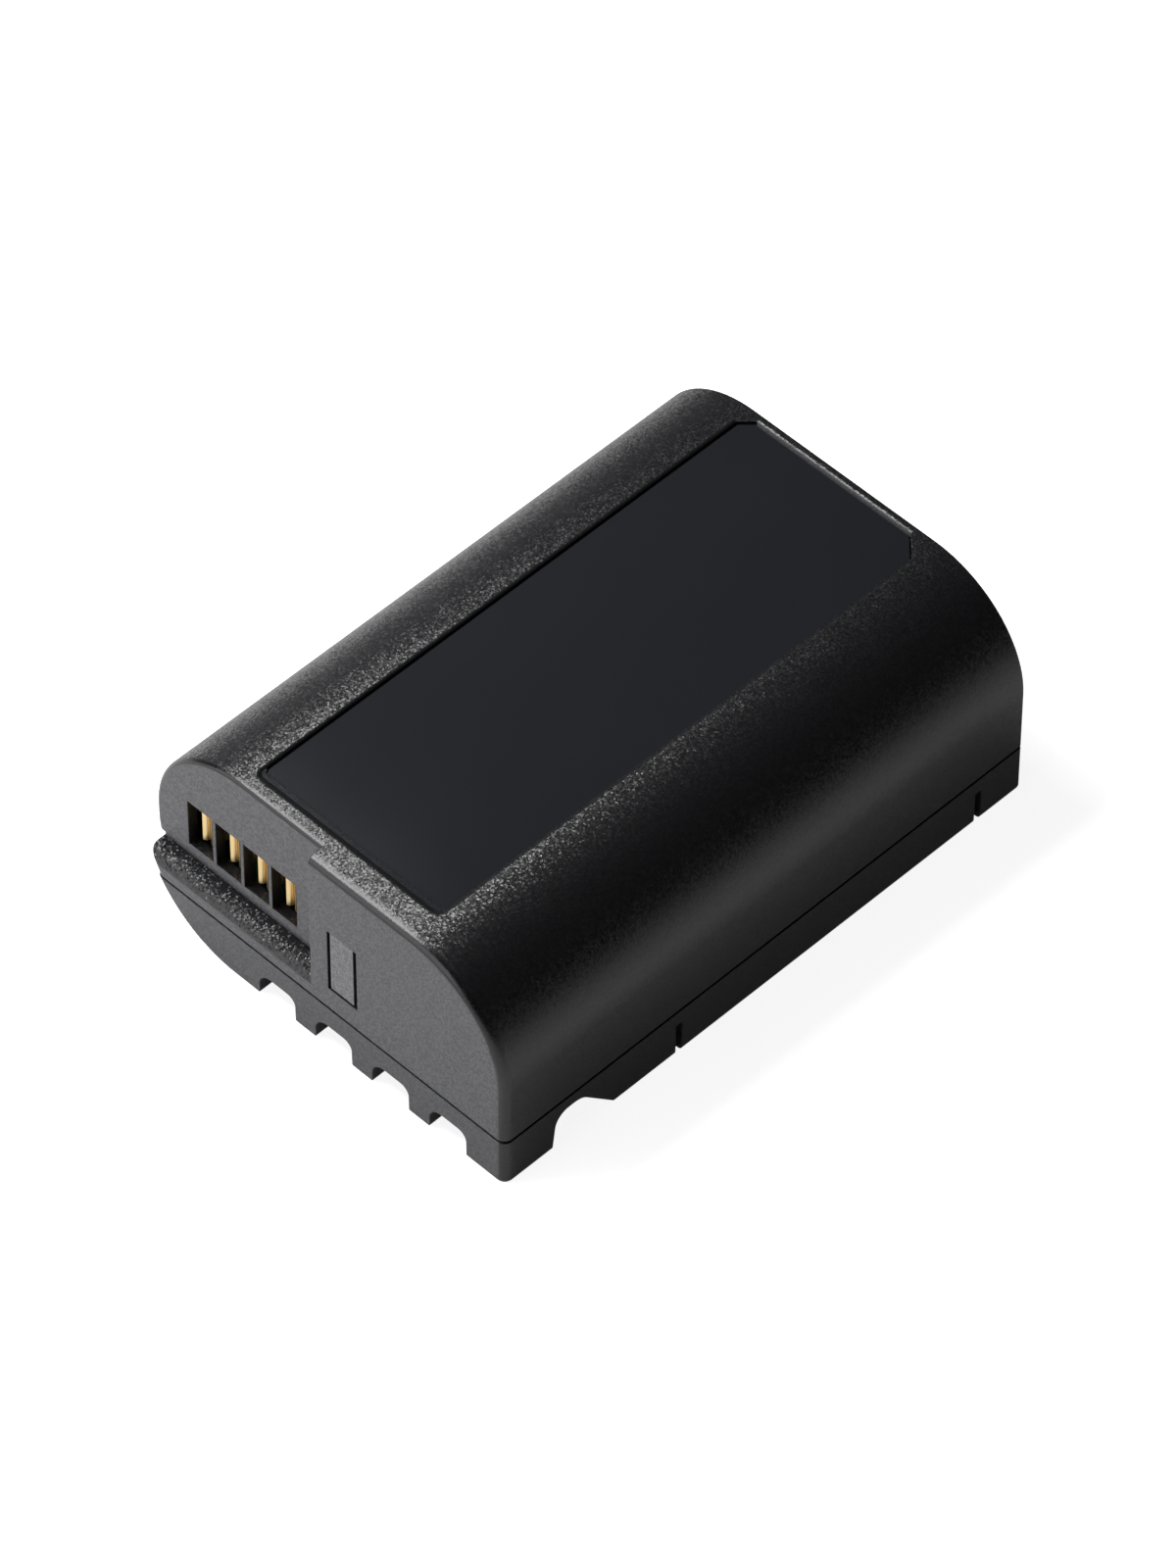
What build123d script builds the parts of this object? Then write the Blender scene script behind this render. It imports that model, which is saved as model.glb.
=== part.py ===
from build123d import *
import math
import os

# Camera battery: a two-cell pack in a moulded case, in millimetres.
# X is the width, Y the length with the contact end at -Y, and Z points up from the base.

# Round cells
cell_diameter = 18.3
cell_length = 49.5
cell_gap = 0.5
cell_side_play = 0.3
cell_headroom = 0.2
cell_edge_slope = 0.8
cell_button_diameter = 6.0
cell_button_height = 0.35
cell_bead_depth = 0.5
cell_bead_offset = 4.0
cell_ring_thickness = 0.2
cell_ring_bore = 8.0
cell_ring_margin = 0.9
tape_thickness = 0.3
tape_angle = 40.0
tape_end_margin = 5.0

# Case walls
side_wall = 1.0
top_wall = 1.2
floor_wall = 1.2
end_wall = 1.0
far_wall = 1.0
shoulder_wall = 0.85
keyed_wall = 0.85
contact_end_round = 0.85
far_end_round = 0.25
base_edge_round = 0.5

# Joint between the upper case and the lower cover
cover_height = 4.9
seam_gap = 0.3
tongue_height = 1.0
tongue_thickness = 0.45
tongue_play = 0.1

# Contact recess and its ledge
recess_depth = 1.5
recess_edge_round = 0.5
ledge_height = 2.05
ledge_round = 1.3
foot_groove_height = 1.1
foot_groove_depth = 0.5

# Contact slots and the terminals behind them
slot_count = 4
slot_pitch = 3.1
slot_width = 2.75
slot_height = 5.0
slot_rise = 1.95
slot_side_margin = 3.65
step_margin = 3.0
terminal_strip = 0.25
terminal_play = 0.3
terminal_end_play = 0.6
terminal_reach = 0.3
terminal_shank = 0.7
terminal_pinch = 0.6

# Mark on the flush part of the contact end
mark_step_margin = 1.9
mark_width = 3.2
mark_height = 6.8
mark_rise = 0.2
mark_line = 0.35
mark_depth = 0.4

# Label and the shallow recess that holds it
label_thickness = 0.2
label_sink = 0.25
label_play = 0.1
label_near_margin = 3.7
label_far_margin = 0.8
label_far_right_clip = 1.9
label_far_left_clip = 1.1
label_near_clip = 0.4

# Keying notches in the cover's front edge
notch_count = 4
notch_pitch = 6.25
notch_width = 4.0
notch_height = 2.8
notch_depth = 4.0
notch_left_round = 1.4
notch_right_round = 0.9
notch_left_flare = 0.6
notch_right_flare = 0.4
notch_side_margin = 4.15

# Latch arch in the cover's right side
arch_near = 5.1
arch_length = 7.0
arch_height = 3.8
arch_depth = 2.6
arch_near_round = 1.5
arch_ramp_round = 1.8
arch_lean = 0.5
arch_ramp_angle = 45.0

# Narrow slots in the cover's right side
side_slot_width = 0.7
side_slot_height = 3.5
side_slot_depth = 0.6
side_slot_near = 18.8
side_slot_far = 4.9

# Board, its parts and the metal strips
contact_room = 2.1
board_thickness = 0.8
board_play = 0.3
tab_room = 0.5
link_room = 0.6
strip_thickness = 0.15
strip_width = 3.0
strip_play = 0.1
link_height = 7.0
link_overhang = 3.5
link_round = 2.0
tab_drop = 3.0
insulator_thickness = 0.2
insulator_play = 0.3
pad_overhang = 5.6
pad_rise = 6.3
chip_size = 3.0
chip_height = 1.0
transistor_width = 4.4
transistor_length = 3.0
transistor_height = 0.9
part_spacing = 2.0
part_row_rise = 3.0
fuse_length = 5.2
fuse_width = 2.8
fuse_height = 1.1
thermistor_length = 1.6
thermistor_width = 0.8
thermistor_height = 0.7

# Overall size from the stack of pieces each way
case_width = 2 * (side_wall + cell_side_play + cell_diameter) + cell_gap
case_height = floor_wall + tape_thickness + cell_diameter + cell_headroom + top_wall
near_stack = recess_depth + end_wall + contact_room + board_thickness + tab_room
case_length = near_stack + cell_length + link_room + far_wall
half_width = case_width / 2
shoulder_radius = cell_diameter / 2 + shoulder_wall
keyed_radius = cell_diameter / 2 + keyed_wall

# Planes along the length
end_y = -case_length / 2
recess_y = end_y + recess_depth
inner_y = recess_y + end_wall
board_front_y = inner_y + contact_room
board_back_y = board_front_y + board_thickness
cell_near_y = board_back_y + tab_room
cell_far_y = cell_near_y + cell_length
far_inner_y = cell_far_y + link_room
far_y = case_length / 2

# Heights
cell_z = floor_wall + tape_thickness + cell_diameter / 2
rim_z = cover_height + seam_gap
tongue_top_z = cover_height + tongue_height
ledge_z = rim_z + ledge_height
slot_bottom_z = ledge_z + slot_rise
slot_middle_z = slot_bottom_z + slot_height / 2

# Places across the width
cell_x = cell_gap / 2 + cell_diameter / 2
cell_radius = cell_diameter / 2
first_slot_x = -half_width + slot_side_margin + slot_width / 2
slot_places = [first_slot_x + number * slot_pitch for number in range(slot_count)]
step_x = slot_places[-1] + slot_width / 2 + step_margin

# Level of the folded strips: as deep in the valley between the cells as their width lets them lie
valley_run = cell_x - strip_width / 2
fold_z = cell_z + math.sqrt(cell_radius**2 - valley_run**2) + strip_play

# How far cutting shapes reach past the part, and the margin for picking edges in a plane
reach = case_width
tiny = 0.01


def block(x_low, x_high, y_low, y_high, z_low, z_high):
    """A box between two corners."""
    size = Box(x_high - x_low, y_high - y_low, z_high - z_low)
    return Pos((x_low + x_high) / 2, (y_low + y_high) / 2, (z_low + z_high) / 2) * size


def along_length(sketch, y_low, y_high):
    """Extrude a sketch of the X-Z section between two places along the length."""
    plane = Plane(origin=(0, y_high, 0), x_dir=(1, 0, 0), z_dir=(0, -1, 0))
    return extrude(plane * sketch, y_high - y_low)


def along_width(sketch, x_low, x_high):
    """Extrude a sketch of the Y-Z side view between two places across the width."""
    plane = Plane(origin=(x_low, 0, 0), x_dir=(0, 1, 0), z_dir=(1, 0, 0))
    return extrude(plane * sketch, x_high - x_low)


def case_section(side_inset, top_inset, bottom_inset):
    """The case's section: round shoulders, a round lower left and a square lower right."""
    low = bottom_inset
    high = case_height - top_inset
    face = Pos(0, (low + high) / 2) * Rectangle(case_width - 2 * side_inset, high - low)
    face = fillet(face.vertices().group_by(Axis.Y)[-1], shoulder_radius - side_inset)
    keyed_corner = face.vertices().group_by(Axis.Y)[0].sort_by(Axis.X)[0]
    return fillet(keyed_corner, keyed_radius - side_inset)


def slab(z_low, z_high):
    """A layer across the whole part between two heights."""
    return block(-reach, reach, end_y - reach, far_y + reach, z_low, z_high)


def inset_body(inset):
    """The case's outside moved inward by the same amount all round."""
    return along_length(case_section(inset, inset, inset), end_y + inset, far_y - inset)


def upper_body(near_y, near_round):
    """The upper part of the case's outside from one place to the far end, with round end edges."""
    body = along_length(case_section(0, 0, 0), near_y, far_y) & slab(rim_z, case_height)
    for y_place, radius in ((near_y, near_round), (far_y, far_end_round)):
        end_edges = body.edges().filter_by_position(Axis.Y, y_place - tiny, y_place + tiny)
        body = fillet(end_edges.sort_by(Axis.Z)[1:], radius)
    return body


def make_upper_case():
    """The upper shell with its cavity, contact recess, slots, mark and label recess."""
    shell = upper_body(end_y, contact_end_round) - make_recess_cut()
    shell += upper_body(recess_y, recess_edge_round)
    shell -= make_foot_groove()
    shell -= along_length(case_section(side_wall, top_wall, side_wall), inner_y, far_inner_y)
    rebate = tongue_thickness + tongue_play
    shell -= inset_body(side_wall - rebate) & slab(0, tongue_top_z)
    for x_place in slot_places:
        low_x = x_place - slot_width / 2
        high_x = x_place + slot_width / 2
        shell -= block(low_x, high_x, recess_y, inner_y, slot_bottom_z, slot_bottom_z + slot_height)
    shell -= make_mark_cut()
    label_floor = case_height - label_sink - label_thickness
    shell -= Pos(0, 0, label_floor) * extrude(label_outline(0), case_height)
    return shell


def make_recess_cut():
    """The space of the contact recess, with the ledge's round nose left at its foot."""
    outside_y = end_y - reach
    behind_y = recess_y + recess_edge_round
    above_z = case_height + reach
    nose_z = ledge_z - ledge_round
    nose = RadiusArc((end_y, nose_z), (end_y + ledge_round, ledge_z), ledge_round)
    border = Polyline(
        (end_y + ledge_round, ledge_z),
        (behind_y, ledge_z),
        (behind_y, above_z),
        (outside_y, above_z),
        (outside_y, nose_z),
        (end_y, nose_z),
    )
    return along_width(make_face(nose.edges() + border.edges()), -reach, step_x)


def make_foot_groove():
    """The shadow groove along the foot of the contact recess, above the ledge."""
    groove_y = recess_y + foot_groove_depth
    return block(-reach, step_x, end_y, groove_y, ledge_z, ledge_z + foot_groove_height)


def make_mark_cut():
    """The line round three sides of the mark on the end, open at the top."""
    middle = step_x + mark_step_margin + mark_width / 2
    high = ledge_z + mark_rise + mark_height
    inner_height = mark_height - mark_line
    outer = Pos(middle, high - mark_height / 2) * Rectangle(mark_width, mark_height)
    inner = Pos(middle, high - inner_height / 2) * Rectangle(mark_width - 2 * mark_line, inner_height)
    return along_length(outer - inner, end_y, end_y + mark_depth)


def label_outline(inset):
    """The label's outline: a long rectangle with clipped corners, the far right one largest."""
    half = half_width - shoulder_radius - inset
    near = end_y + label_near_margin + inset
    far = far_y - label_far_margin - inset
    corners = Polyline(
        (-half, near + label_near_clip),
        (-half + label_near_clip, near),
        (half - label_near_clip, near),
        (half, near + label_near_clip),
        (half, far - label_far_right_clip),
        (half - label_far_right_clip, far),
        (-half + label_far_left_clip, far),
        (-half, far - label_far_left_clip),
        close=True,
    )
    return make_face(corners)


def make_label():
    """The label film, a little below the case's top."""
    label_floor = case_height - label_sink - label_thickness
    return Pos(0, 0, label_floor) * extrude(label_outline(label_play), label_thickness)


def make_lower_cover():
    """The lower shell: a cradle for the cells with a tongue, notches, a latch arch and slots."""
    cover = inset_body(0) & slab(0, cover_height)
    for y_order, radius in ((0, contact_end_round), (-1, far_end_round)):
        right_edges = cover.edges().filter_by_position(Axis.X, half_width - tiny, half_width + tiny)
        cover = fillet(right_edges.filter_by(Axis.Z).sort_by(Axis.Y)[y_order], radius)
    base = cover.faces().sort_by(Axis.Z)[0]
    cover = fillet(base.edges().sort_by(Axis.X)[1:], base_edge_round)
    tongue = inset_body(side_wall - tongue_thickness) - inset_body(side_wall)
    cover += tongue & slab(cover_height, tongue_top_z)
    cradle = Circle(cell_radius + tape_thickness)
    for side in (-1, 1):
        cover -= along_length(Pos(side * cell_x, cell_z) * cradle, board_back_y, far_inner_y)
    last_notch_x = half_width - notch_side_margin - notch_width / 2
    for number in range(notch_count):
        cover -= make_notch_cut(last_notch_x - number * notch_pitch)
    cover -= make_arch_cut()
    for y_place in (end_y + side_slot_near, far_y - side_slot_far):
        low_y = y_place - side_slot_width / 2
        high_y = y_place + side_slot_width / 2
        cover -= block(half_width - side_slot_depth, reach, low_y, high_y, -reach, side_slot_height)
    return cover


def make_notch_cut(x_place):
    """One keying notch, open at the base and at the contact end, with round foot corners."""
    opening = Pos(x_place, 0) * Rectangle(notch_width, 2 * notch_height)
    for x_order, radius in ((0, notch_left_round), (-1, notch_right_round)):
        opening = fillet(opening.vertices().group_by(Axis.Y)[-1].sort_by(Axis.X)[x_order], radius)
    for side, radius in ((-1, notch_left_flare), (1, notch_right_flare)):
        edge_x = x_place + side * notch_width / 2
        flare = Pos(edge_x + side * radius / 2, radius / 2) * Rectangle(radius, radius)
        opening += flare - Pos(edge_x + side * radius, radius) * Circle(radius)
    return along_length(opening, end_y - reach, end_y + notch_depth)


def make_arch_cut():
    """The latch arch: a steep round near side and a long ramp on the far side."""
    near = end_y + arch_near
    far = near + arch_length
    ramp = arch_height / math.tan(math.radians(arch_ramp_angle))
    corners = Polyline(
        (near, -arch_height),
        (near, 0),
        (near + arch_lean, arch_height),
        (far - ramp, arch_height),
        (far, 0),
        (far, -arch_height),
        close=True,
    )
    face = make_face(corners)
    face = fillet(face.vertices().group_by(Axis.Y)[-1].sort_by(Axis.X)[-1], arch_ramp_round)
    face = fillet(face.vertices().group_by(Axis.Y)[-1].sort_by(Axis.X)[0], arch_near_round)
    return along_width(face, half_width - arch_depth, reach)


def make_terminal(x_place):
    """A fork contact: a foot on the board and two spring leaves that pinch at their tips."""
    outer = slot_width / 2 - terminal_play - terminal_strip / 2
    pinch = terminal_pinch / 2 + terminal_strip / 2
    foot_y = board_front_y - terminal_strip / 2
    bend_y = foot_y - terminal_shank
    tip_y = inner_y - terminal_reach
    path = Polyline(
        (-pinch, tip_y),
        (-outer, bend_y),
        (-outer, foot_y),
        (outer, foot_y),
        (outer, bend_y),
        (pinch, tip_y),
    )
    height = slot_height - 2 * terminal_end_play
    return Pos(x_place, 0, slot_middle_z - height / 2) * extrude(trace(path, terminal_strip), height)


def end_sheet(y_low, y_high, top_z):
    """A sheet across the pack's end, clear of the walls, from the cover up to one height."""
    inset = side_wall + board_play
    outline = case_section(inset, top_wall + board_play, inset)
    return along_length(outline, y_low, y_high) & slab(cover_height, top_z)


def make_circuit_board():
    """The board across the end of the pack, standing on the cover."""
    return end_sheet(board_front_y, board_back_y, case_height)


def on_board(left_x, length, middle_z, width, height):
    """A part soldered to the front of the board, and where the next one may start."""
    low_z = middle_z - width / 2
    part = block(left_x, left_x + length, board_front_y - height, board_front_y, low_z, low_z + width)
    return part, left_x + length + part_spacing


def make_board_parts():
    """The parts of the protection circuit in two rows behind the flush part of the end."""
    parts = {}
    place = step_x + part_spacing
    upper_z = cell_z + part_row_rise
    lower_z = cell_z - part_row_rise
    parts["protection_chip"], place = on_board(place, chip_size, upper_z, chip_size, chip_height)
    parts["switch_transistor"], place = on_board(
        place, transistor_length, upper_z, transistor_width, transistor_height
    )
    place = step_x + part_spacing
    parts["thermal_fuse"], place = on_board(place, fuse_length, lower_z, fuse_width, fuse_height)
    parts["thermistor"], place = on_board(
        place, thermistor_length, lower_z, thermistor_width, thermistor_height
    )
    return parts


def make_cell(side, button_y, flat_y):
    """A sealed round cell from its flat end to its button, with the rolled bead near the button."""
    way = math.copysign(1, button_y - flat_y)
    shoulder_y = button_y - way * cell_button_height
    bead_y = shoulder_y - way * cell_bead_offset
    middle = Pos(cell_radius / 2, (flat_y + shoulder_y) / 2)
    half = middle * Rectangle(cell_radius, abs(shoulder_y - flat_y))
    half = chamfer(half.vertices().group_by(Axis.X)[-1], cell_edge_slope)
    half -= Pos(cell_radius, bead_y) * RegularPolygon(cell_bead_depth, 4)
    half += Pos(cell_button_diameter / 4, (shoulder_y + button_y) / 2) * Rectangle(
        cell_button_diameter / 2, cell_button_height
    )
    return Pos(side * cell_x, 0, cell_z) * revolve(half, Axis.Y)


def make_cell_ring(side, button_y, way):
    """The insulating washer on a cell's shoulder, round its button."""
    ring = Circle(cell_radius - cell_ring_margin) - Circle(cell_ring_bore / 2)
    shoulder_y = button_y - way * cell_button_height
    outer_y = shoulder_y + way * cell_ring_thickness
    low_y, high_y = sorted((shoulder_y, outer_y))
    return along_length(Pos(side * cell_x, cell_z) * ring, low_y, high_y)


def make_cell_tape(side):
    """The strip of tape that holds a cell down in its cradle."""
    start = -90 - tape_angle / 2
    inner = CenterArc((0, 0), cell_radius, start, tape_angle)
    outer = CenterArc((0, 0), cell_radius + tape_thickness, start, tape_angle)
    sides = Line(inner @ 0, outer @ 0) + Line(inner @ 1, outer @ 1)
    face = make_face(inner.edges() + outer.edges() + sides.edges())
    near = cell_near_y + tape_end_margin + cell_bead_offset
    far = cell_far_y - tape_end_margin - cell_bead_offset
    return along_length(Pos(side * cell_x, cell_z) * face, near, far)


def make_end_tab(side):
    """A nickel tab from a cell's near end up and over to the board."""
    low_x = side * cell_x - strip_width / 2
    high_x = side * cell_x + strip_width / 2
    top_z = fold_z + strip_thickness
    upright = block(low_x, high_x, cell_near_y - strip_thickness, cell_near_y, cell_z - tab_drop, top_z)
    return upright + block(low_x, high_x, board_back_y, cell_near_y, fold_z, top_z)


def make_series_link():
    """The nickel strip that joins the two cells at the far end."""
    outline = Pos(0, cell_z) * RectangleRounded(2 * (cell_x + link_overhang), link_height, link_round)
    return along_length(outline, cell_far_y, cell_far_y + strip_thickness)


def make_middle_tap():
    """The nickel strip from the link, along the valley between the cells, to the board."""
    half = strip_width / 2
    top_z = fold_z + strip_thickness
    run = block(-half, half, board_back_y, cell_far_y + strip_thickness, fold_z, top_z)
    link_top_z = cell_z + link_height / 2
    return run + block(-half, half, cell_far_y, cell_far_y + strip_thickness, link_top_z, top_z)


def make_insulator_sheet():
    """The fibre sheet between the cells and the board, under the folded strips."""
    high_y = cell_near_y - strip_thickness
    return end_sheet(high_y - insulator_thickness, high_y, fold_z - insulator_play)


def make_end_pad():
    """The foam pad between the link and the far wall."""
    half = cell_x + pad_overhang
    top_z = cell_z + pad_rise
    return block(-half, half, cell_far_y + strip_thickness, far_inner_y, cover_height, top_z)


def build():
    """Make every piece by its name."""
    pieces = {
        "upper_case": make_upper_case(),
        "lower_cover": make_lower_cover(),
        "label": make_label(),
        "circuit_board": make_circuit_board(),
        "cell_left": make_cell(-1, cell_near_y, cell_far_y),
        "cell_right": make_cell(1, cell_far_y, cell_near_y),
        "cell_ring_left": make_cell_ring(-1, cell_near_y, -1),
        "cell_ring_right": make_cell_ring(1, cell_far_y, 1),
        "cell_tape_left": make_cell_tape(-1),
        "cell_tape_right": make_cell_tape(1),
        "positive_tab": make_end_tab(-1),
        "negative_tab": make_end_tab(1),
        "series_link": make_series_link(),
        "middle_tap": make_middle_tap(),
        "insulator_sheet": make_insulator_sheet(),
        "end_pad": make_end_pad(),
    }
    pieces.update(make_board_parts())
    for number, x_place in enumerate(slot_places, start=1):
        pieces[f"terminal_{number}"] = make_terminal(x_place)
    return pieces


os.makedirs("parts", exist_ok=True)
for name, piece in build().items():
    export_step(piece, f"parts/{name}.step")
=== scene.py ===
import logging
import math
from dataclasses import dataclass, field
from typing import Any, NamedTuple

import bmesh
import bpy
from mathutils import Matrix, Vector


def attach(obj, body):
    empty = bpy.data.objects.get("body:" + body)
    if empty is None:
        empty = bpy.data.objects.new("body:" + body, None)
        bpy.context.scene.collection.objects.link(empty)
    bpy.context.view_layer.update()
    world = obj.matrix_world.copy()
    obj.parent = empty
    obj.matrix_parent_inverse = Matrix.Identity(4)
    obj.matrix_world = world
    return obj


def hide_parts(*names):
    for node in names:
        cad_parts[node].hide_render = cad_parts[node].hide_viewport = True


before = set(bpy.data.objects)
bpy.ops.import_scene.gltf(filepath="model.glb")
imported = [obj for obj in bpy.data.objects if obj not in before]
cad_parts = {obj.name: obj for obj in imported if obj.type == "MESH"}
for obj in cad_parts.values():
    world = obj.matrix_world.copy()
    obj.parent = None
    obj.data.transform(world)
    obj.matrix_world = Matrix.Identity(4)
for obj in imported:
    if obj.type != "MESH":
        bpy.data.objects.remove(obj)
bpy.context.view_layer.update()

# Looks of a two-cell camera battery: moulded case, label film, plated contacts, cells and board.
# Lengths in the classes are in millimetres and become metres where Blender needs them.

MM = 0.001
# Distance in metres that still counts as inside a box.
TOUCH = 1e-7
# Mean of the random colour that the craters get.
MEAN_COLOUR = (0.5, 0.5, 0.5)
LOG = logging.getLogger("camera_battery")

Socket = bpy.types.NodeSocket
Tree = bpy.types.NodeTree
Pair = tuple[float, float]
Triple = tuple[float, float, float]


def linear(hex_colour: str) -> tuple[float, float, float, float]:
    """Turns an sRGB hex colour into linear red, green, blue and alpha.

    Args:
        hex_colour: Six hex digits after a hash sign.

    Returns:
        The linear colour with full alpha.
    """
    channels = [int(hex_colour[start:start + 2], 16) / 255 for start in (1, 3, 5)]
    parts = [c / 12.92 if c <= 0.04045 else ((c + 0.055) / 1.055) ** 2.4 for c in channels]
    return (parts[0], parts[1], parts[2], 1.0)


def per_metre(size_mm: float) -> float:
    """Gives the texture scale whose features have that size in millimetres."""
    return 1 / (size_mm * MM)


def add_node(tree: Tree, kind: str, inputs: dict[Any, Any] | None = None, **settings: Any) -> bpy.types.Node:
    """Adds one node with its settings, and fills or links its inputs.

    Args:
        tree: Node tree that gets the node.
        kind: Blender's name for the type of node.
        inputs: Values or output sockets, by the input's name or number.
        settings: Attributes of the node itself.

    Returns:
        The new node.
    """
    node = tree.nodes.new(kind)
    for name, value in settings.items():
        setattr(node, name, value)
    for key, value in (inputs or {}).items():
        if isinstance(value, Socket):
            tree.links.new(value, node.inputs[key])
        else:
            node.inputs[key].default_value = value
    return node


def open_material(name: str) -> tuple[bpy.types.Material, Tree, bpy.types.Node]:
    """Starts a material that holds one principled shader.

    Args:
        name: The real material and how its surface was made.

    Returns:
        The material, its node tree and its shader.
    """
    material = bpy.data.materials.new(name)
    material.use_nodes = True
    tree = material.node_tree
    return material, tree, tree.nodes["Principled BSDF"]


def way_outside(tree: Tree, middle_mm: Triple, half_mm: Triple) -> Socket:
    """Finds the shortest way from a box to the shaded point.

    Args:
        tree: The material's node tree.
        middle_mm: Middle of the box.
        half_mm: Half of its sides.

    Returns:
        The way in metres, which is zero inside the box.
    """
    middle = [value * MM for value in middle_mm]
    half = [value * MM for value in half_mm]
    place = add_node(tree, "ShaderNodeNewGeometry").outputs["Position"]
    away = add_node(tree, "ShaderNodeVectorMath", {0: place, 1: middle}, operation="SUBTRACT").outputs[0]
    low = add_node(tree, "ShaderNodeVectorMath", {
        0: away, 1: [-value for value in half],
    }, operation="MAXIMUM").outputs[0]
    nearest = add_node(tree, "ShaderNodeVectorMath", {0: low, 1: half}, operation="MINIMUM").outputs[0]
    return add_node(tree, "ShaderNodeVectorMath", {0: away, 1: nearest}, operation="SUBTRACT").outputs[0]


def distance_of(tree: Tree, way: Socket) -> Socket:
    """Gives the length of a way."""
    return add_node(tree, "ShaderNodeVectorMath", {0: way}, operation="LENGTH").outputs["Value"]


def inside_box(tree: Tree, middle_mm: Triple, half_mm: Triple) -> Socket:
    """Gives 1 where the shaded point is inside a box, and 0 elsewhere."""
    gap = distance_of(tree, way_outside(tree, middle_mm, half_mm))
    return add_node(tree, "ShaderNodeMath", {0: gap, 1: TOUCH}, operation="LESS_THAN").outputs[0]


class FaceMasks(NamedTuple):
    """Sockets that tell the zones of a moulded shell apart."""

    fine: Socket
    behind: Socket
    grained: Socket
    ledge: Socket
    margin: Socket
    pad: Socket


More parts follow.
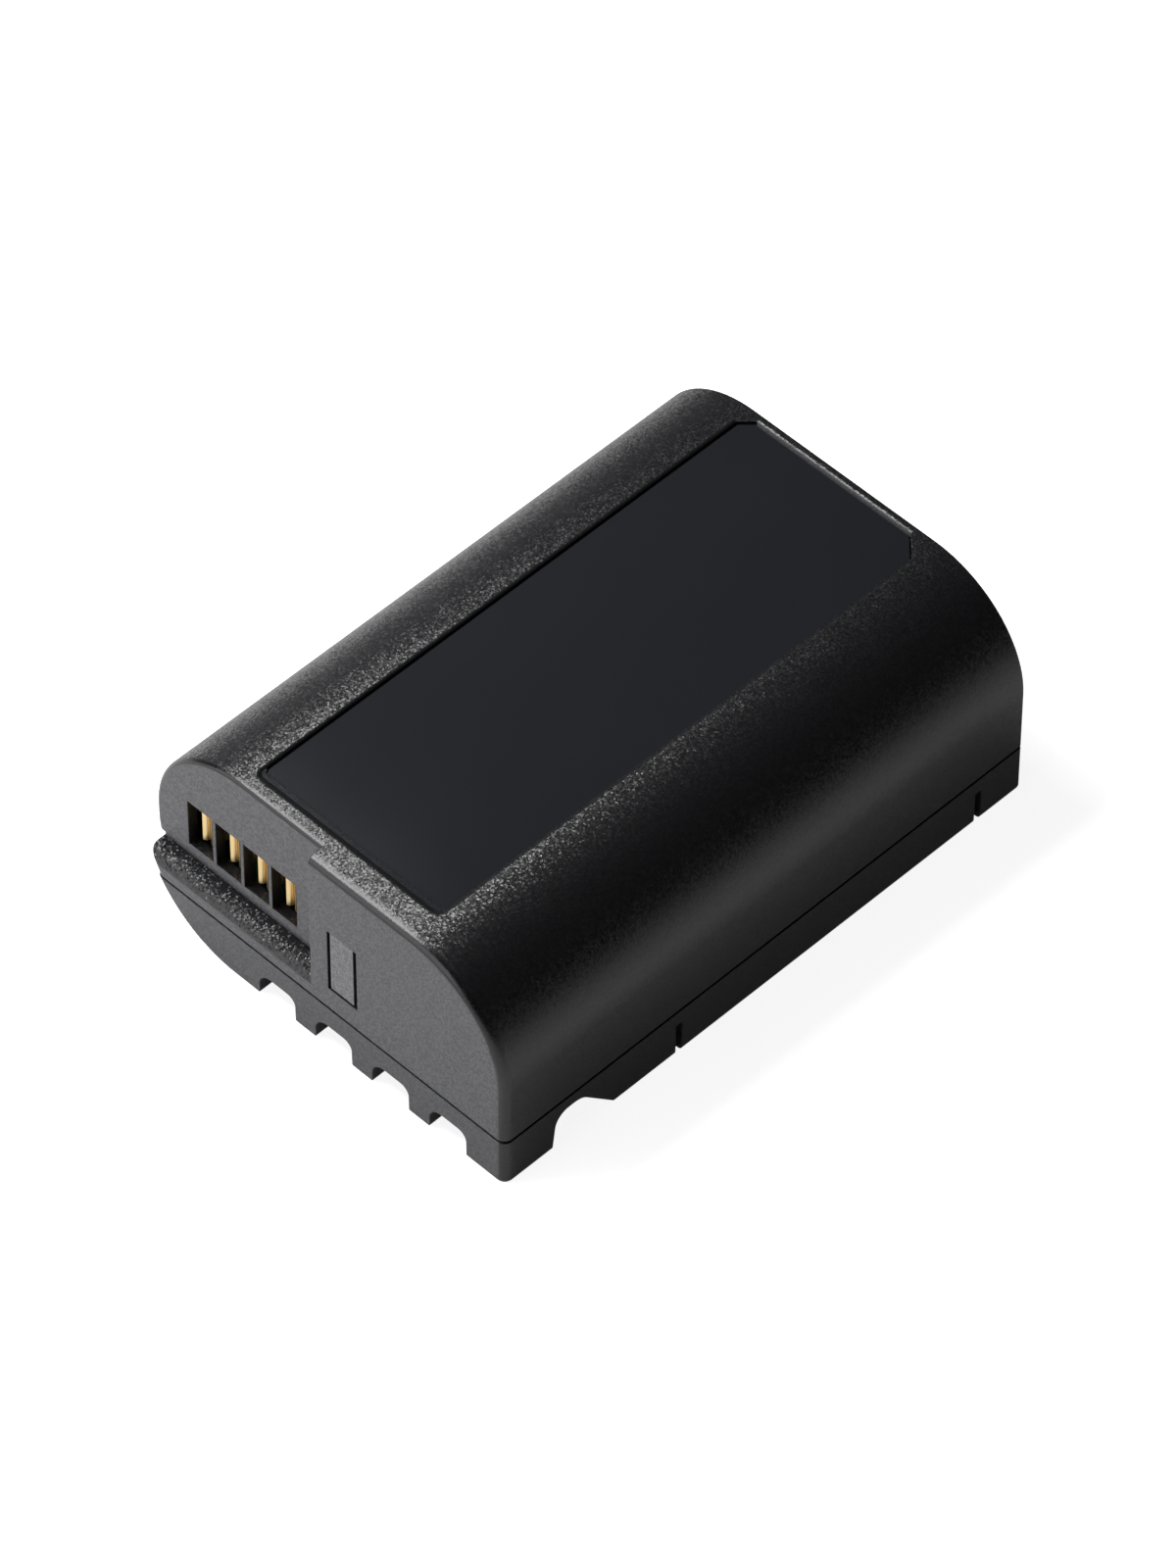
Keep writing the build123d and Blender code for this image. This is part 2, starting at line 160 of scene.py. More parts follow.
@dataclass(frozen=True)
class MouldedPlastic:
    """Black polycarbonate blend, moulded in a spark-eroded tool.

    Every eroded crater leaves a small facet that faces its own way, so the flat top glitters near
    a light's mirror direction. The upright walls slide out of the tool and have a shallower
    texture. The face at the contact end was blasted finer and is drawn an even grey, lighter than
    the black: partly that finish, partly painted light for the light the end face catches. The
    ledge is drawn a little lighter too, as painted light for the light on it. The rim
    of the label's recess is rounded, and the tool is polished along the recess's near end. The
    craters and the blasted grit are drawn a little coarser than the real ones, so that they show.
    """

    name: str
    colour: str = "#131315"
    # The end face's grey is lighter than the black: partly its finer blasted finish, partly painted light
    # for the light the end face catches.
    fine_and_painted_light_colour: str = "#4c4c4f"
    pad_colour: str = "#666668"
    # The ledge's grey is a little lighter than the black, as painted light for the light on the ledge.
    ledge_painted_light_colour: str = "#1e1e20"
    margin_colour: str = "#1d1e21"
    roughness: float = 0.38
    lip_roughness: float = 0.22
    fine_roughness: float = 0.5
    ledge_roughness: float = 0.3
    margin_roughness: float = 0.1
    rough_spread: float = 0.05
    ior: float = 1.5
    specular: float = 0.5
    crater_mm: float = 0.13
    crater_tilt: float = 0.33
    upright_share: float = 0.2
    ledge_share: float = 2.5
    tone_spread: float = 0.35
    # This size keeps both end faces off the planes of the noise's own grid, where it fades.
    fine_mm: float = 0.21
    fine_depth_mm: float = 0.012
    speck_limits: Pair = (0.38, 0.62)
    edge_round_mm: float = 0.13
    edge_samples: int = 6
    # Parts of the normal between which the end face, the lip and the level top blend.
    end_limits: Pair = (-0.95, -0.995)
    lip_limits: Pair = (-0.6, -0.1)
    top_limits: Pair = (0.4, 0.85)
    ledge_middle_mm: Triple = (-10.6, -27.6, 6.785)
    ledge_half_mm: Triple = (9.45, 1.0, 0.485)
    label_middle_mm: Triple = (0.0, 1.1, 21.2)
    label_half_mm: Triple = (9.2, 25.8, 0.3)
    label_corner_mm: float = 0.6
    near_end_mm: tuple[Triple, Triple] = ((0.0, -25.4, 21.2), (12.0, 1.0, 0.3))
    far_clips_mm: tuple[tuple[Triple, Triple], ...] = (
        ((-10.4, 27.6, 21.2), (1.7, 1.1, 0.4)), ((10.0, 27.2, 21.2), (2.0, 1.5, 0.4)),
    )
    rim_round_mm: float = 0.5
    rim_lean: float = 1.2
    pad_middle_mm: Triple = (2.35, -28.5, 11.03)
    pad_half_mm: Triple = (1.25, 0.2, 3.23)

    def inside_rim(self, tree: Tree) -> Socket:
        """Gives 1 inside the rim of the label's recess, which has round corners, and 0 elsewhere."""
        gap = distance_of(tree, way_outside(tree, self.label_middle_mm, self.label_half_mm))
        return add_node(tree, "ShaderNodeMath", {
            0: gap, 1: self.label_corner_mm * MM,
        }, operation="LESS_THAN").outputs[0]

    def face_masks(self, tree: Tree) -> FaceMasks:
        """Finds the zones of the shell from where its points lie and which way they face.

        Args:
            tree: The material's node tree.

        Returns:
            Fine end face, face behind the smooth lip, share of the coarse grain, contact ledge,
            polished margin of the label and pad of the mark.
        """
        geometry = add_node(tree, "ShaderNodeNewGeometry")
        normal = add_node(tree, "ShaderNodeSeparateXYZ", {0: geometry.outputs["Normal"]})
        ledge = inside_box(tree, self.ledge_middle_mm, self.ledge_half_mm)
        facing = add_node(tree, "ShaderNodeMapRange", {
            "Value": normal.outputs["Y"],
            "From Min": self.end_limits[0], "From Max": self.end_limits[1],
        }, interpolation_type="SMOOTHSTEP")
        fine = add_node(tree, "ShaderNodeMath", {
            0: facing.outputs[0], 1: ledge,
        }, operation="SUBTRACT", use_clamp=True)
        behind = add_node(tree, "ShaderNodeMapRange", {
            "Value": normal.outputs["Y"],
            "From Min": self.lip_limits[0], "From Max": self.lip_limits[1],
        }, interpolation_type="SMOOTHSTEP")
        level = add_node(tree, "ShaderNodeMapRange", {
            "Value": normal.outputs["Z"], "To Min": self.upright_share,
            "From Min": self.top_limits[0], "From Max": self.top_limits[1],
        }, interpolation_type="SMOOTHSTEP")
        coarse = add_node(tree, "ShaderNodeMath", {
            0: behind.outputs[0], 1: level.outputs[0],
        }, operation="MULTIPLY")
        ridge = add_node(tree, "ShaderNodeMath", {0: ledge, 1: self.ledge_share}, operation="MULTIPLY")
        rugged = add_node(tree, "ShaderNodeMath", {
            0: coarse.outputs[0], 1: ridge.outputs[0],
        }, operation="MAXIMUM")
        margin = add_node(tree, "ShaderNodeMath", {
            0: self.inside_rim(tree), 1: inside_box(tree, *self.near_end_mm),
        }, operation="MULTIPLY").outputs[0]
        smooth = add_node(tree, "ShaderNodeMath", {0: 1.0, 1: margin}, operation="SUBTRACT")
        grained = add_node(tree, "ShaderNodeMath", {
            0: rugged.outputs[0], 1: smooth.outputs[0],
        }, operation="MULTIPLY")
        pad = inside_box(tree, self.pad_middle_mm, self.pad_half_mm)
        return FaceMasks(fine.outputs[0], behind.outputs[0], grained.outputs[0], ledge, margin, pad)

    def rim_reach(self, tree: Tree) -> Socket:
        """Leans the top towards the label along its recess's rim, but not at the clipped corners.

        Args:
            tree: The material's node tree.

        Returns:
            What the rim adds to the normal.
        """
        way = way_outside(tree, self.label_middle_mm, self.label_half_mm)
        lean = add_node(tree, "ShaderNodeMapRange", {
            "Value": distance_of(tree, way), "From Min": self.label_corner_mm * MM,
            "From Max": (self.label_corner_mm + self.rim_round_mm) * MM,
            "To Min": -self.rim_lean, "To Max": 0.0,
        })
        flat = self.inside_rim(tree)
        for clip in self.far_clips_mm:
            flat = add_node(tree, "ShaderNodeMath", {
                0: flat, 1: inside_box(tree, *clip),
            }, operation="MAXIMUM").outputs[0]
        rim = add_node(tree, "ShaderNodeMath", {0: 1.0, 1: flat}, operation="SUBTRACT")
        reach = add_node(tree, "ShaderNodeMath", {
            0: lean.outputs[0], 1: rim.outputs[0],
        }, operation="MULTIPLY")
        outward = add_node(tree, "ShaderNodeVectorMath", {0: way}, operation="NORMALIZE")
        return add_node(tree, "ShaderNodeVectorMath", {
            0: outward.outputs[0], "Scale": reach.outputs[0],
        }, operation="SCALE").outputs[0]

    def crater_normal(self, tree: Tree, craters: Socket, masks: FaceMasks) -> Socket:
        """Leans each crater its own way on top of the softened edges and the rounded rim.

        Args:
            tree: The material's node tree.
            craters: A random colour for each crater.
            masks: Zones of the shell.

        Returns:
            The leaning normal.
        """
        edge = add_node(tree, "ShaderNodeBevel", {
            "Radius": self.edge_round_mm * MM,
        }, samples=self.edge_samples)
        tilt = add_node(tree, "ShaderNodeMath", {
            0: masks.grained, 1: self.crater_tilt,
        }, operation="MULTIPLY")
        lean = add_node(tree, "ShaderNodeVectorMath", {0: craters, 1: MEAN_COLOUR}, operation="SUBTRACT")
        reach = add_node(tree, "ShaderNodeVectorMath", {
            0: lean.outputs[0], "Scale": tilt.outputs[0],
        }, operation="SCALE")
        total = edge.outputs["Normal"]
        for part in (reach.outputs[0], self.rim_reach(tree)):
            total = add_node(tree, "ShaderNodeVectorMath", {0: total, 1: part}, operation="ADD").outputs[0]
        return add_node(tree, "ShaderNodeVectorMath", {0: total}, operation="NORMALIZE").outputs[0]

    def material(self) -> bpy.types.Material:
        """Builds the plastic with its craters, fine grain, rounded rim and softened edges.

        Returns:
            The plastic.
        """
        material, tree, shader = open_material(self.name)
        where = add_node(tree, "ShaderNodeTexCoord").outputs["Object"]
        craters = add_node(tree, "ShaderNodeTexVoronoi", {
            "Vector": where, "Scale": per_metre(self.crater_mm),
        }).outputs["Color"]
        grit = add_node(tree, "ShaderNodeTexNoise", {
            "Vector": where, "Scale": per_metre(self.fine_mm), "Detail": 2.0, "Roughness": 0.6,
        }).outputs["Fac"]
        masks = self.face_masks(tree)
        shown = add_node(tree, "ShaderNodeMath", {0: 1.0, 1: masks.margin}, operation="SUBTRACT")
        normal = add_node(tree, "ShaderNodeBump", {
            "Strength": shown.outputs[0],
            "Distance": self.fine_depth_mm * MM,
            "Height": grit,
            "Normal": self.crater_normal(tree, craters, masks),
        }).outputs["Normal"]
        face = add_node(tree, "ShaderNodeMix", {
            "Factor": masks.pad, "A": linear(self.fine_and_painted_light_colour), "B": linear(self.pad_colour),
        }, data_type="RGBA").outputs["Result"]
        # The end face and the ledge get greys lighter than the black, partly as painted light for the light
        # they catch.
        tint: Any = linear(self.colour)
        for mask, zone in (
            (masks.fine, face),
            (masks.ledge, linear(self.ledge_painted_light_colour)),
            (masks.margin, linear(self.margin_colour)),
        ):
            tint = add_node(tree, "ShaderNodeMix", {
                "Factor": mask, "A": tint, "B": zone,
            }, data_type="RGBA").outputs["Result"]
        chance = add_node(tree, "ShaderNodeSeparateXYZ", {0: craters}).outputs["X"]
        speck = add_node(tree, "ShaderNodeMapRange", {
            "Value": grit, "From Min": self.speck_limits[0], "From Max": self.speck_limits[1],
        })
        grain = add_node(tree, "ShaderNodeMix", {"Factor": masks.fine, "A": chance, "B": speck.outputs[0]})
        tone = add_node(tree, "ShaderNodeMapRange", {
            "Value": grain.outputs[0], "To Min": 1 - self.tone_spread, "To Max": 1 + self.tone_spread,
        })
        colour = add_node(tree, "ShaderNodeMix", {
            "Factor": 1.0, "A": tint, "B": tone.outputs[0],
        }, data_type="RGBA", blend_type="MULTIPLY")
        uneven = add_node(tree, "ShaderNodeMapRange", {
            "Value": chance, "To Min": -self.rough_spread, "To Max": self.rough_spread,
        })
        eroded = add_node(tree, "ShaderNodeMapRange", {
            "Value": masks.behind, "To Min": self.lip_roughness, "To Max": self.roughness,
        })
        rough = add_node(tree, "ShaderNodeMath", {
            0: eroded.outputs[0], 1: uneven.outputs[0],
        }, operation="ADD").outputs[0]
        for mask, value in (
            (masks.fine, self.fine_roughness),
            (masks.ledge, self.ledge_roughness),
            (masks.margin, self.margin_roughness),
        ):
            rough = add_node(tree, "ShaderNodeMix", {"Factor": mask, "A": rough, "B": value}).outputs[0]
        tree.links.new(colour.outputs["Result"], shader.inputs["Base Color"])
        tree.links.new(rough, shader.inputs["Roughness"])
        tree.links.new(normal, shader.inputs["Normal"])
        shader.inputs["IOR"].default_value = self.ior
        shader.inputs["Specular IOR Level"].default_value = self.specular
        return material


@dataclass(frozen=True)
class SatinFilm:
    """Polyester label film with a satin hard coat, bare of print.

    The coat is smooth, so the film shows one soft, slightly blue gradient between grained bands.
    """

    name: str = "polyester_film_satin_coated"
    colour: str = "#1d1e21"
    roughness: float = 0.1
    coat_mm: float = 0.35
    coat_depth_mm: float = 0.0006
    cloud_mm: float = 14.0
    rough_spread: float = 0.02
    tones: Pair = (0.94, 1.06)
    ior: float = 1.5

    def material(self) -> bpy.types.Material:
        """Builds the film with its faint orange-peel coat.

        Returns:
            The coated film.
        """
        material, tree, shader = open_material(self.name)
        where = add_node(tree, "ShaderNodeTexCoord").outputs["Object"]
        peel = add_node(tree, "ShaderNodeTexNoise", {
            "Vector": where, "Scale": per_metre(self.coat_mm), "Detail": 2.0,
        })
        cloud = add_node(tree, "ShaderNodeTexNoise", {
            "Vector": where, "Scale": per_metre(self.cloud_mm), "Detail": 2.0,
        })
        bump = add_node(tree, "ShaderNodeBump", {
            "Strength": 1.0, "Distance": self.coat_depth_mm * MM, "Height": peel.outputs["Fac"],
        })
        rough = add_node(tree, "ShaderNodeMapRange", {
            "Value": cloud.outputs["Fac"],
            "To Min": self.roughness - self.rough_spread, "To Max": self.roughness + self.rough_spread,
        })
        shade = add_node(tree, "ShaderNodeMapRange", {
            "Value": cloud.outputs["Fac"], "To Min": self.tones[0], "To Max": self.tones[1],
        })
        colour = add_node(tree, "ShaderNodeMix", {
            "Factor": 1.0, "A": linear(self.colour), "B": shade.outputs[0],
        }, data_type="RGBA", blend_type="MULTIPLY")
        tree.links.new(colour.outputs["Result"], shader.inputs["Base Color"])
        tree.links.new(rough.outputs[0], shader.inputs["Roughness"])
        tree.links.new(bump.outputs["Normal"], shader.inputs["Normal"])
        shader.inputs["IOR"].default_value = self.ior
        return material


@dataclass(frozen=True)
class PlatedMetal:
    """Thin strip metal, rolled and plated.

    The rolling leaves fine lines along the strip, which draw the highlight out, and the plating
    gives the colour.
    """

    name: str
    colour: str
    roughness: float
    line_mm: float = 0.05
    line_depth_mm: float = 0.0008
    line_squeeze: Triple = (1.0, 0.06, 1.0)
    cloud_mm: float = 1.2
    rough_spread: float = 0.08
    tones: Pair = (0.82, 1.1)

    def material(self) -> bpy.types.Material:
        """Builds the metal with its rolling lines and slight tarnish.

        Returns:
            The plated metal.
        """
        material, tree, shader = open_material(self.name)
        where = add_node(tree, "ShaderNodeTexCoord").outputs["Object"]
        stretch = add_node(tree, "ShaderNodeMapping", {"Vector": where, "Scale": self.line_squeeze})
        lines = add_node(tree, "ShaderNodeTexNoise", {
            "Vector": stretch.outputs[0], "Scale": per_metre(self.line_mm), "Detail": 2.0,
        })
        cloud = add_node(tree, "ShaderNodeTexNoise", {
            "Vector": where, "Scale": per_metre(self.cloud_mm), "Detail": 3.0,
        })
        bump = add_node(tree, "ShaderNodeBump", {
            "Strength": 1.0, "Distance": self.line_depth_mm * MM, "Height": lines.outputs["Fac"],
        })
        rough = add_node(tree, "ShaderNodeMapRange", {
            "Value": cloud.outputs["Fac"],
            "To Min": self.roughness - self.rough_spread, "To Max": self.roughness + self.rough_spread,
        })
        shade = add_node(tree, "ShaderNodeMapRange", {
            "Value": cloud.outputs["Fac"], "To Min": self.tones[0], "To Max": self.tones[1],
        })
        colour = add_node(tree, "ShaderNodeMix", {
            "Factor": 1.0, "A": linear(self.colour), "B": shade.outputs[0],
        }, data_type="RGBA", blend_type="MULTIPLY")
        tree.links.new(colour.outputs["Result"], shader.inputs["Base Color"])
        tree.links.new(rough.outputs[0], shader.inputs["Roughness"])
        tree.links.new(bump.outputs["Normal"], shader.inputs["Normal"])
        shader.inputs["Metallic"].default_value = 1.0
        return material


@dataclass(frozen=True)
class InnerSheet:
    """A dull inner material: fibre paper, foam, laminate, epoxy or sleeve.

    Each shows its own speckle, fibre or cell size and is otherwise matt.
    """

    name: str
    colour: str
    second_colour: str
    roughness: float
    grain_mm: float
    depth_mm: float
    rough_spread: float = 0.06

    def material(self) -> bpy.types.Material:
        """Builds the sheet with two close colours in its own grain.

        Returns:
            The sheet.
        """
        material, tree, shader = open_material(self.name)
        where = add_node(tree, "ShaderNodeTexCoord").outputs["Object"]
        grain = add_node(tree, "ShaderNodeTexNoise", {
            "Vector": where, "Scale": per_metre(self.grain_mm), "Detail": 3.0,
        })
        colour = add_node(tree, "ShaderNodeMix", {
            "Factor": grain.outputs["Fac"], "A": linear(self.colour), "B": linear(self.second_colour),
        }, data_type="RGBA")
        bump = add_node(tree, "ShaderNodeBump", {
            "Strength": 1.0, "Distance": self.depth_mm * MM, "Height": grain.outputs["Fac"],
        })
        rough = add_node(tree, "ShaderNodeMapRange", {
            "Value": grain.outputs["Fac"],
            "To Min": self.roughness - self.rough_spread, "To Max": self.roughness + self.rough_spread,
        })
        tree.links.new(colour.outputs["Result"], shader.inputs["Base Color"])
        tree.links.new(rough.outputs[0], shader.inputs["Roughness"])
        tree.links.new(bump.outputs["Normal"], shader.inputs["Normal"])
        return material


def dress(nodes: tuple[str, ...], material: bpy.types.Material) -> None:
    """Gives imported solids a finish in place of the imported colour.

    Args:
        nodes: Names of the solids.
        material: The finish.
    """
    for name in nodes:
        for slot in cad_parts[name].material_slots:
            slot.material = material
        LOG.info("%s: %s", name, material.name)


@dataclass
class CaseShells:
    """The welded upper case and lower cover."""

    upper: MouldedPlastic = MouldedPlastic("polycarbonate_spark_eroded")
    # The cover's end face also gets a lighter grey, partly painted light for the light it catches.
    cover: MouldedPlastic = MouldedPlastic("polycarbonate_fine_blasted", fine_and_painted_light_colour="#454548")

    def build(self) -> None:
        """Dresses both shells."""
        dress(("upper_case",), self.upper.material())
        dress(("lower_cover",), self.cover.material())


@dataclass
class LabelFilm:
    """The bare label in its shallow recess."""

    finish: SatinFilm = SatinFilm()

    def build(self) -> None:
        """Dresses the film."""
        dress(("label",), self.finish.material())


@dataclass
class ForkTerminals:
    """The four fork contacts behind the slots.

    Each is one strip bent to a U: its foot lies on the board, and its two leaves close to a pinch
    and flare again towards the slot, where the flare catches the light.
    """

    finish: PlatedMetal = PlatedMetal(
        "phosphor_bronze_gold_plated", "#ebcf98", 0.32, line_depth_mm=0.0002,
    )
    count: int = 4
    first_x_mm: float = -14.825
    pitch_mm: float = 3.1
    strip_mm: float = 0.2
    low_z_mm: float = 9.8
    high_z_mm: float = 13.6
    leaf_mm: tuple[Pair, ...] = (
        (0.0, -24.0), (0.85, -24.0), (0.95, -24.15), (0.95, -24.7),
        (0.56, -25.28), (0.2, -25.72), (0.28, -26.04), (0.56, -26.22),
    )
    steps: int = 5
    smooth_deg: float = 40.0

    def line(self) -> list[Vector]:
        """Rounds the strip's middle line through its points, from one leaf's tip to the other's.

        Returns:
            Points of the line, in millimetres.
        """
        half = [Vector(point) for point in self.leaf_mm]
        points = [Vector((-point.x, point.y)) for point in reversed(half[1:])] + half
        points = [points[0] * 2 - points[1], *points, points[-1] * 2 - points[-2]]
        rounded = []
        for before, start, end, after in zip(points, points[1:], points[2:], points[3:]):
            for step in range(self.steps):
                t = step / self.steps
                rounded.append(0.5 * (
                    2 * start + (end - before) * t
                    + (2 * before - 5 * start + 4 * end - after) * t ** 2
                    + (3 * start - before - 3 * end + after) * t ** 3
                ))
        return [*rounded, points[-2]]

    def strip(self, number: int, x_mm: float) -> bpy.types.Object:
        """Builds one contact from the strip's line.

        Args:
            number: The contact's number, counted from the left.
            x_mm: Middle of its slot.

        Returns:
            The contact.
        """
        line = self.line()
        shape = bmesh.new()
        rings = []
        for index, point in enumerate(line):
            ahead = line[min(index + 1, len(line) - 1)] - line[max(index - 1, 0)]
            side = Vector((-ahead.y, ahead.x)).normalized() * self.strip_mm / 2
            corners = [(point + side, self.low_z_mm), (point - side, self.low_z_mm),
                       (point - side, self.high_z_mm), (point + side, self.high_z_mm)]
            rings.append([shape.verts.new(Vector((x_mm + flat.x, flat.y, z)) * MM) for flat, z in corners])
        for ring, following in zip(rings, rings[1:]):
            for corner in range(4):
                other = (corner + 1) % 4
                shape.faces.new((ring[corner], ring[other], following[other], following[corner]))
        shape.faces.new(reversed(rings[0]))
        shape.faces.new(rings[-1])
        bmesh.ops.recalc_face_normals(shape, faces=shape.faces)
        mesh = bpy.data.meshes.new(f"fork_contact_{number}")
        shape.to_mesh(mesh)
        shape.free()
        mesh.shade_smooth()
        mesh.set_sharp_from_angle(angle=math.radians(self.smooth_deg))
        contact = bpy.data.objects.new(f"fork_contact_{number}", mesh)
        bpy.context.scene.collection.objects.link(contact)
        return contact

    def build(self) -> None:
        """Adds the contacts in place of the plain ones."""
        material = self.finish.material()
        for number in range(1, self.count + 1):
            contact = self.strip(number, self.first_x_mm + (number - 1) * self.pitch_mm)
            contact.data.materials.append(material)
            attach(contact, "root")
            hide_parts(f"terminal_{number}")
            LOG.info("%s: %s", contact.name, material.name)


@dataclass
class CellPack:
    """The two cells with their washers, tapes, strips and foam."""

    sleeve: InnerSheet = InnerSheet("polyester_shrink_sleeve", "#4f7f96", "#598aa0", 0.35, 0.8, 0.002)
    paper: InnerSheet = InnerSheet("vulcanised_fibre_paper", "#96a498", "#a9b5aa", 0.8, 0.15, 0.01)
    foam: InnerSheet = InnerSheet("acrylic_foam_tape", "#4c4c4f", "#626265", 0.9, 0.2, 0.03)
    strip: PlatedMetal = PlatedMetal("nickel_strip_rolled", "#c9c5bd", 0.35)

    def build(self) -> None:
        """Dresses the cells and what holds and joins them."""
        dress(("cell_left", "cell_right"), self.sleeve.material())
        dress(("cell_ring_left", "cell_ring_right", "insulator_sheet"), self.paper.material())
        dress(("cell_tape_left", "cell_tape_right", "end_pad"), self.foam.material())
        dress(("positive_tab", "negative_tab", "series_link", "middle_tap"), self.strip.material())


@dataclass
class ProtectionBoard:
    """The board behind the contact end and its soldered parts."""

    laminate: InnerSheet = InnerSheet("glass_epoxy_laminate", "#14351f", "#194227", 0.4, 0.3, 0.002)
    epoxy: InnerSheet = InnerSheet("moulded_epoxy_resin", "#333335", "#404042", 0.6, 0.08, 0.004)

    def build(self) -> None:
        """Dresses the board and its parts."""
        dress(("circuit_board",), self.laminate.material())
        dress(("protection_chip", "switch_transistor", "thermal_fuse", "thermistor"), self.epoxy.material())


@dataclass
class Softbox:
    """A rectangular soft light aimed at the battery, with its first side laid along one direction."""

    name: str
    place_mm: Triple
    size_mm: Pair
    watts: float
    along: Triple = (1.0, 0.0, 0.0)

    def build(self) -> None:
        """Adds the light, facing the middle of the battery."""
        lamp = bpy.data.lights.new(self.name, "AREA")
        lamp.shape = "RECTANGLE"
        lamp.size = self.size_mm[0] * MM
        lamp.size_y = self.size_mm[1] * MM
        lamp.energy = self.watts
        lamp_object = bpy.data.objects.new(self.name, lamp)
        bpy.context.scene.collection.objects.link(lamp_object)
        place = Vector(self.place_mm) * MM
        back = place.normalized()
        side = Vector(self.along)
        side = (side - back * side.dot(back)).normalized()
        turn = Matrix((side, back.cross(side), back)).transposed().to_4x4()
        lamp_object.matrix_world = Matrix.Translation(place) @ turn


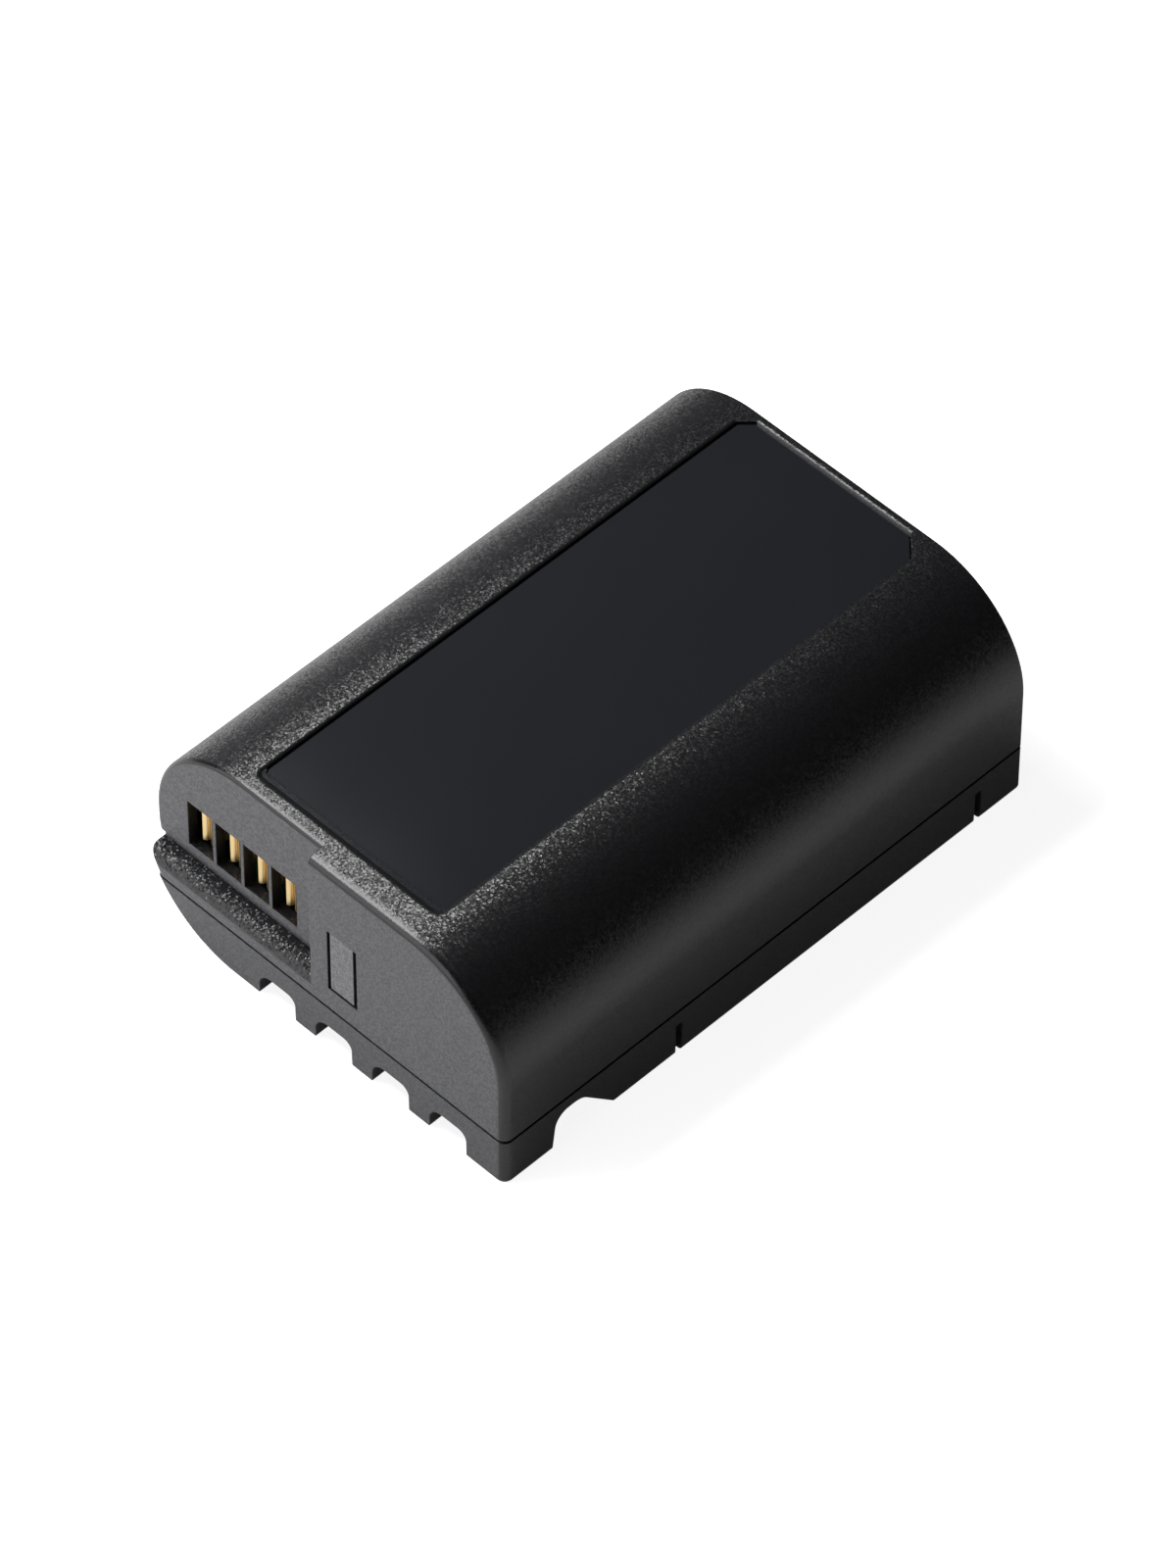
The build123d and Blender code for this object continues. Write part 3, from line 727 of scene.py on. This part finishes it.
@dataclass
class Studio:
    """The white table, the dim room and the lights."""

    floor_half_mm: float = 12000.0
    floor_colour: str = "#d4d4d4"
    # Painted shade: the table's colour turns dark under the battery, where its shade falls.
    painted_shade_colour: str = "#303030"
    floor_roughness: float = 0.9
    painted_shade_half_mm: Triple = (12.8, 21.4, 0.0)
    painted_shade_start_mm: float = 6.0
    painted_shade_end_mm: float = 7.0
    seen_glow: float = 0.9
    # Glow seen only in reflections: a painted shade at the battery's foot, white further out and dimmer far
    # away.
    foot_glow: float = 0.09
    white_glow: float = 0.2
    foot_middle_mm: Triple = (4.0, 6.0, 0.0)
    foot_half_mm: Triple = (21.0, 22.0, 0.0)
    fade_mm: float = 28.0
    far_glow: float = 0.15
    far_start_mm: float = 90.0
    far_end_mm: float = 240.0
    room_colour: str = "#161618"
    rim_colour: str = "#707070"
    rim_height: float = 0.09
    rim_fade: float = 1.6
    lights: list[Softbox] = field(default_factory=lambda: [
        Softbox("near_key", (-46.0, -2.0, 99.0), (26.0, 26.0), 0.075),
        Softbox("strip_softbox", (-165.0, -125.0, 290.0), (270.0, 130.0), 1.2, (0.0, 1.0, 0.0)),
        Softbox("front_softbox", (-150.0, -360.0, 120.0), (500.0, 280.0), 0.85),
    ])

    def floor_material(self) -> bpy.types.Material:
        """Builds the table top: white to the camera, with a painted shade in its colour under the battery,
        and a painted glow in its reflections that is shaded at the battery's foot like a light tent and dims
        far away.

        Returns:
            The table's material.
        """
        material, tree, shader = open_material("white_laminate_table")
        # Painted shade under the battery: the table's colour turns dark inside the footprint.
        shade_distance = distance_of(tree, way_outside(tree, (0.0, 0.0, 0.0), self.painted_shade_half_mm))
        unshaded = add_node(tree, "ShaderNodeMapRange", {
            "Value": shade_distance, "From Min": self.painted_shade_start_mm * MM, "From Max": self.painted_shade_end_mm * MM,
        })
        colour = add_node(tree, "ShaderNodeMix", {
            "Factor": unshaded.outputs[0], "A": linear(self.painted_shade_colour), "B": linear(self.floor_colour),
        }, data_type="RGBA")
        # Painted reflection: glossy and transmission rays see a glow with a painted shade at the foot,
        # rising to white_glow over fade_mm and dimming to far_glow far away.
        distance = distance_of(tree, way_outside(tree, self.foot_middle_mm, self.foot_half_mm))
        shade = add_node(tree, "ShaderNodeMapRange", {
            "Value": distance, "From Max": self.fade_mm * MM,
            "To Min": self.foot_glow, "To Max": self.white_glow,
        }, interpolation_type="SMOOTHSTEP")
        dusk = add_node(tree, "ShaderNodeMapRange", {
            "Value": distance, "From Min": self.far_start_mm * MM, "From Max": self.far_end_mm * MM,
            "To Min": 1.0, "To Max": self.far_glow / self.white_glow,
        }, interpolation_type="SMOOTHSTEP")
        white = add_node(tree, "ShaderNodeMath", {
            0: shade.outputs[0], 1: dusk.outputs[0],
        }, operation="MULTIPLY")
        path = add_node(tree, "ShaderNodeLightPath")
        mirrored = add_node(tree, "ShaderNodeMath", {
            0: path.outputs["Is Glossy Ray"], 1: path.outputs["Is Transmission Ray"],
        }, operation="MAXIMUM")
        mirror = add_node(tree, "ShaderNodeMath", {
            0: mirrored.outputs[0], 1: white.outputs[0],
        }, operation="MULTIPLY")
        glow = add_node(tree, "ShaderNodeMath", {
            0: path.outputs["Is Camera Ray"], 1: self.seen_glow, 2: mirror.outputs[0],
        }, operation="MULTIPLY_ADD")
        tree.links.new(colour.outputs["Result"], shader.inputs["Base Color"])
        shader.inputs["Roughness"].default_value = self.floor_roughness
        shader.inputs["Specular IOR Level"].default_value = 0.0
        shader.inputs["Emission Color"].default_value = linear("#ffffff")
        tree.links.new(glow.outputs[0], shader.inputs["Emission Strength"])
        return material

    def build_floor(self) -> None:
        """Adds the table top under the battery."""
        half = self.floor_half_mm * MM
        mesh = bpy.data.meshes.new("table_top")
        shape = bmesh.new()
        around = ((-half, -half), (half, -half), (half, half), (-half, half))
        shape.faces.new([shape.verts.new((x, y, 0.0)) for x, y in around])
        shape.to_mesh(mesh)
        shape.free()
        table = bpy.data.objects.new("table_top", mesh)
        mesh.materials.append(self.floor_material())
        bpy.context.scene.collection.objects.link(table)

    def build_room(self) -> None:
        """Makes a dim room with a low white rim at the height of the table."""
        world = bpy.data.worlds.new("dim_room")
        world.use_nodes = True
        tree = world.node_tree
        background = tree.nodes["Background"]
        way = add_node(tree, "ShaderNodeTexCoord").outputs["Generated"]
        height = add_node(tree, "ShaderNodeSeparateXYZ", {0: way}).outputs["Z"]
        rim = add_node(tree, "ShaderNodeMapRange", {
            "Value": height, "From Min": self.rim_fade * self.rim_height, "From Max": self.rim_height,
        }, interpolation_type="SMOOTHSTEP")
        colour = add_node(tree, "ShaderNodeMix", {
            "Factor": rim.outputs[0], "A": linear(self.room_colour), "B": linear(self.rim_colour),
        }, data_type="RGBA")
        path = add_node(tree, "ShaderNodeLightPath")
        seen = add_node(tree, "ShaderNodeMix", {
            "Factor": path.outputs["Is Camera Ray"],
            "A": colour.outputs["Result"],
            "B": (*[self.seen_glow] * 3, 1.0),
        }, data_type="RGBA")
        tree.links.new(seen.outputs["Result"], background.inputs["Color"])
        bpy.context.scene.world = world

    def build(self) -> None:
        """Adds the table, the room and the lights."""
        self.build_floor()
        self.build_room()
        for light in self.lights:
            light.build()
            LOG.info("light %s", light.name)


@dataclass
class PhotoCamera:
    """A long lens at the photograph's viewing angle."""

    azimuth_deg: float = 44.875
    elevation_deg: float = 49.02
    roll_deg: float = 0.19
    distance_mm: float = 725.2
    aim_mm: Triple = (1.37, -1.11, 9.48)
    lens_mm: float = 214.98
    sensor_mm: float = 36.0
    clip_mm: Pair = (10.0, 100000.0)

    def build(self) -> None:
        """Adds the camera and makes it the scene's own."""
        turn = Matrix.Rotation(math.radians(self.azimuth_deg), 4, "Z")
        turn @= Matrix.Rotation(math.radians(90 - self.elevation_deg), 4, "X")
        turn @= Matrix.Rotation(math.radians(self.roll_deg), 4, "Z")
        backward = turn.to_3x3() @ Vector((0.0, 0.0, 1.0))
        place = (Vector(self.aim_mm) + backward * self.distance_mm) * MM
        data = bpy.data.cameras.new("photo_camera")
        data.lens = self.lens_mm
        data.sensor_width = self.sensor_mm
        data.clip_start = self.clip_mm[0] * MM
        data.clip_end = self.clip_mm[1] * MM
        camera = bpy.data.objects.new("photo_camera", data)
        camera.matrix_world = Matrix.Translation(place) @ turn
        bpy.context.scene.collection.objects.link(camera)
        bpy.context.scene.camera = camera


def main() -> None:
    """Builds and dresses every sub-assembly, then the studio and the camera."""
    logging.basicConfig(level=logging.INFO, format="%(name)s %(message)s")
    bpy.context.scene.view_settings.view_transform = "Standard"
    for assembly in (CaseShells(), LabelFilm(), ForkTerminals(), CellPack(), ProtectionBoard()):
        assembly.build()
    Studio().build()
    PhotoCamera().build()


if __name__ == "__main__":
    main()
